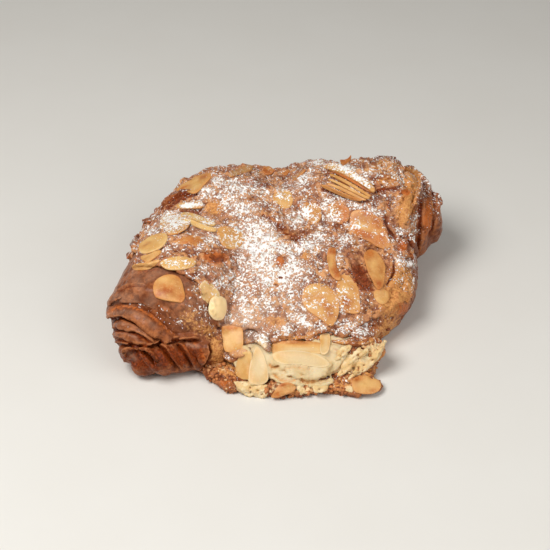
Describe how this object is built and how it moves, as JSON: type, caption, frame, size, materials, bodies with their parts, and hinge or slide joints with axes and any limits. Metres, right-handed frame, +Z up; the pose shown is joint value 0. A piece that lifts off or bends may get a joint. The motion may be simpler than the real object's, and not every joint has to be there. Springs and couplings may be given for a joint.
{
  "type": "almond croissant",
  "caption": "Baked crescent pastry with turned horns, split at the front and filled with almond cream, under a browned almond coat strewn with flaked almonds.",
  "frame": {"origin": "under the middle of the croissant's bounding box, on the surface that it lies on", "axes": "+Z up, +X along the longest extent towards the right horn, -Y towards the split with the filling"},
  "size_m": [0.1372, 0.1208, 0.0481],
  "materials": {
    "pastry": "baked crust, dark brown, satin",
    "topping": "baked almond cream, golden brown, rough",
    "almond_cream": "soft almond cream, pale yellow, moist",
    "flaked_almond": "toasted almond flake, golden, dull",
    "powdered_sugar": "fine white powder, matte"
  },
  "bodies": {
    "root": {"pastry": "pastry", "topping": "topping", "almond_cream": "almond_cream"}
  },
  "joints": []
}
